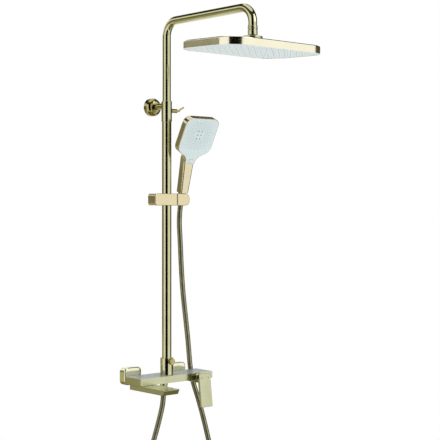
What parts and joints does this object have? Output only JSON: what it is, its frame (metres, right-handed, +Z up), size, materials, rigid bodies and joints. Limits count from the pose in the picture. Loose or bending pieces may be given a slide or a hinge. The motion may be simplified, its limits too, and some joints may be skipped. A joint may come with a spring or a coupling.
{
  "type": "rainfall shower column",
  "caption": "Wall shower column: lever mixer with a shelf and swivel spout, telescopic riser with a curved arm, tilting rectangular rain head, sliding hand shower and ribbed hose.",
  "frame": {"origin": "on the wall, midway between the two water inlets", "axes": "+Z up along the riser, +Y into the wall, +X to the right of someone facing the wall"},
  "size_m": [0.336, 0.5389, 1.3958],
  "materials": {
    "gold_brass": "brushed pale gold plating",
    "gold_steel": "brushed pale gold plating on stainless steel",
    "gold_plating": "brushed pale gold plating on plastic",
    "grey_face": "smooth pale grey",
    "pale_rubber": "soft silicone",
    "seal_rubber": "black seal rubber",
    "inner_plastic": "plain moulded plastic",
    "steel": "plain steel",
    "hose_gold": "wound metal strip in dull gold brown",
    "shelf_grey": "smooth grey plate",
    "mark_enamel": "small enamel dots, red for hot and blue for cold"
  },
  "bodies": {
    "column": {"left_eccentric_union": "gold_brass", "right_eccentric_union": "gold_brass", "union_nuts": "gold_brass", "left_escutcheon": "gold_brass", "right_escutcheon": "gold_brass", "inlet_gaskets": "seal_rubber", "mixer_body": "gold_brass", "shelf_plate": "shelf_grey", "cartridge": "inner_plastic", "cartridge_nut": "gold_brass", "spout_post": "gold_brass", "spout_ring": "seal_rubber", "hose_outlet": "gold_brass", "lower_hose_nut": "gold_brass", "diverter_base": "gold_brass", "diverter_housing": "gold_brass", "lower_tube": "gold_steel", "bracket_sleeve": "gold_brass", "guide_bush": "inner_plastic", "bracket_base": "steel", "base_screw": "steel", "bracket_neck": "gold_brass", "wall_flange": "gold_brass", "hose": "hose_gold"},
    "glide": {"glide_ring": "inner_plastic"},
    "arm": {"arm_tube": "gold_steel", "tube_plug": "inner_plastic", "arm_nipple": "gold_brass", "swivel_nut": "gold_brass"},
    "swivel_seat": {"ball_seat": "seal_rubber"},
    "rain_head": {"ball_stud": "gold_brass", "head_boss": "gold_brass", "head_shell": "gold_steel", "water_chamber": "inner_plastic", "nozzle_mat": "pale_rubber", "spray_face": "grey_face"},
    "lock": {"lock_screw": "gold_brass", "lock_pin": "gold_brass"},
    "slider": {"slider_body": "gold_plating", "slider_bush": "inner_plastic", "pivot_bolt": "steel"},
    "holder": {"holder": "gold_plating"},
    "hand_shower": {"hand_shell": "gold_plating", "hand_face": "grey_face", "hand_nozzles": "pale_rubber", "hand_jets": "inner_plastic", "upper_hose_nut": "gold_brass", "hose_washer": "seal_rubber", "hose_inner_end": "inner_plastic"},
    "button": {"mode_button": "gold_plating"},
    "diverter": {"diverter_spindle": "steel", "diverter_knob": "gold_brass"},
    "lever_carrier": {"lever_carrier": "steel", "lever_pin": "steel"},
    "lever": {"lever_stem": "steel", "lever": "gold_brass", "lever_screw": "steel", "lever_marks": "mark_enamel"},
    "spout": {"spout": "gold_brass", "aerator": "inner_plastic"}
  },
  "joints": [
    {"name": "riser_slide", "type": "slide", "parent": "column", "child": "glide", "axis": [0, 0, 1], "range_m": [-0.16, 0.08]},
    {"name": "arm_swivel", "type": "hinge", "parent": "glide", "child": "arm", "pos_m": [0, -0.068, 0.56], "axis": [0, 0, 1], "range_deg": [-45, 45]},
    {"name": "head_spin", "type": "hinge", "parent": "arm", "child": "swivel_seat", "pos_m": [0, -0.402, 0.864], "axis": [0, 0, 1], "range_deg": [-90, 90]},
    {"name": "head_tilt", "type": "hinge", "parent": "swivel_seat", "child": "rain_head", "pos_m": [0, -0.402, 0.864], "axis": [1, 0, 0], "range_deg": [-8, 8]},
    {"name": "lock_turn", "type": "hinge", "parent": "column", "child": "lock", "pos_m": [0.02, -0.068, 0.696], "axis": [1, 0, 0], "range_deg": [-90, 90]},
    {"name": "slider_slide", "type": "slide", "parent": "column", "child": "slider", "axis": [0, 0, 1], "range_m": [-0.25, 0.13], "deforming": ["hose"]},
    {"name": "holder_tilt", "type": "hinge", "parent": "slider", "child": "holder", "pos_m": [0.03, -0.068, 0.462], "axis": [1, 0, 0], "range_deg": [-4, 14], "deforming": ["hose"]},
    {"name": "hand_lift", "type": "slide", "parent": "holder", "child": "hand_shower", "axis": [0, -0.2334, 0.9724], "range_m": [0, 0.024], "deforming": ["hose"]},
    {"name": "button_press", "type": "slide", "parent": "hand_shower", "child": "button", "axis": [0, 0.8788, 0.4772], "range_m": [0, 0.0016], "stiffness_N_per_m": 900},
    {"name": "diverter_turn", "type": "hinge", "parent": "column", "child": "diverter", "pos_m": [0, -0.0855, 0.038], "axis": [0, -1, 0], "range_deg": [-45, 45]},
    {"name": "lever_turn", "type": "hinge", "parent": "column", "child": "lever_carrier", "pos_m": [0.089, -0.093, -0.013], "axis": [0, -1, 0], "range_deg": [-40, 40]},
    {"name": "lever_lift", "type": "hinge", "parent": "lever_carrier", "child": "lever", "pos_m": [0.089, -0.093, -0.013], "axis": [-1, 0, 0], "range_deg": [0, 20]},
    {"name": "spout_swivel", "type": "hinge", "parent": "column", "child": "spout", "pos_m": [-0.076, -0.058, -0.024], "axis": [0, 0, 1], "range_deg": [-90, 40]}
  ]
}
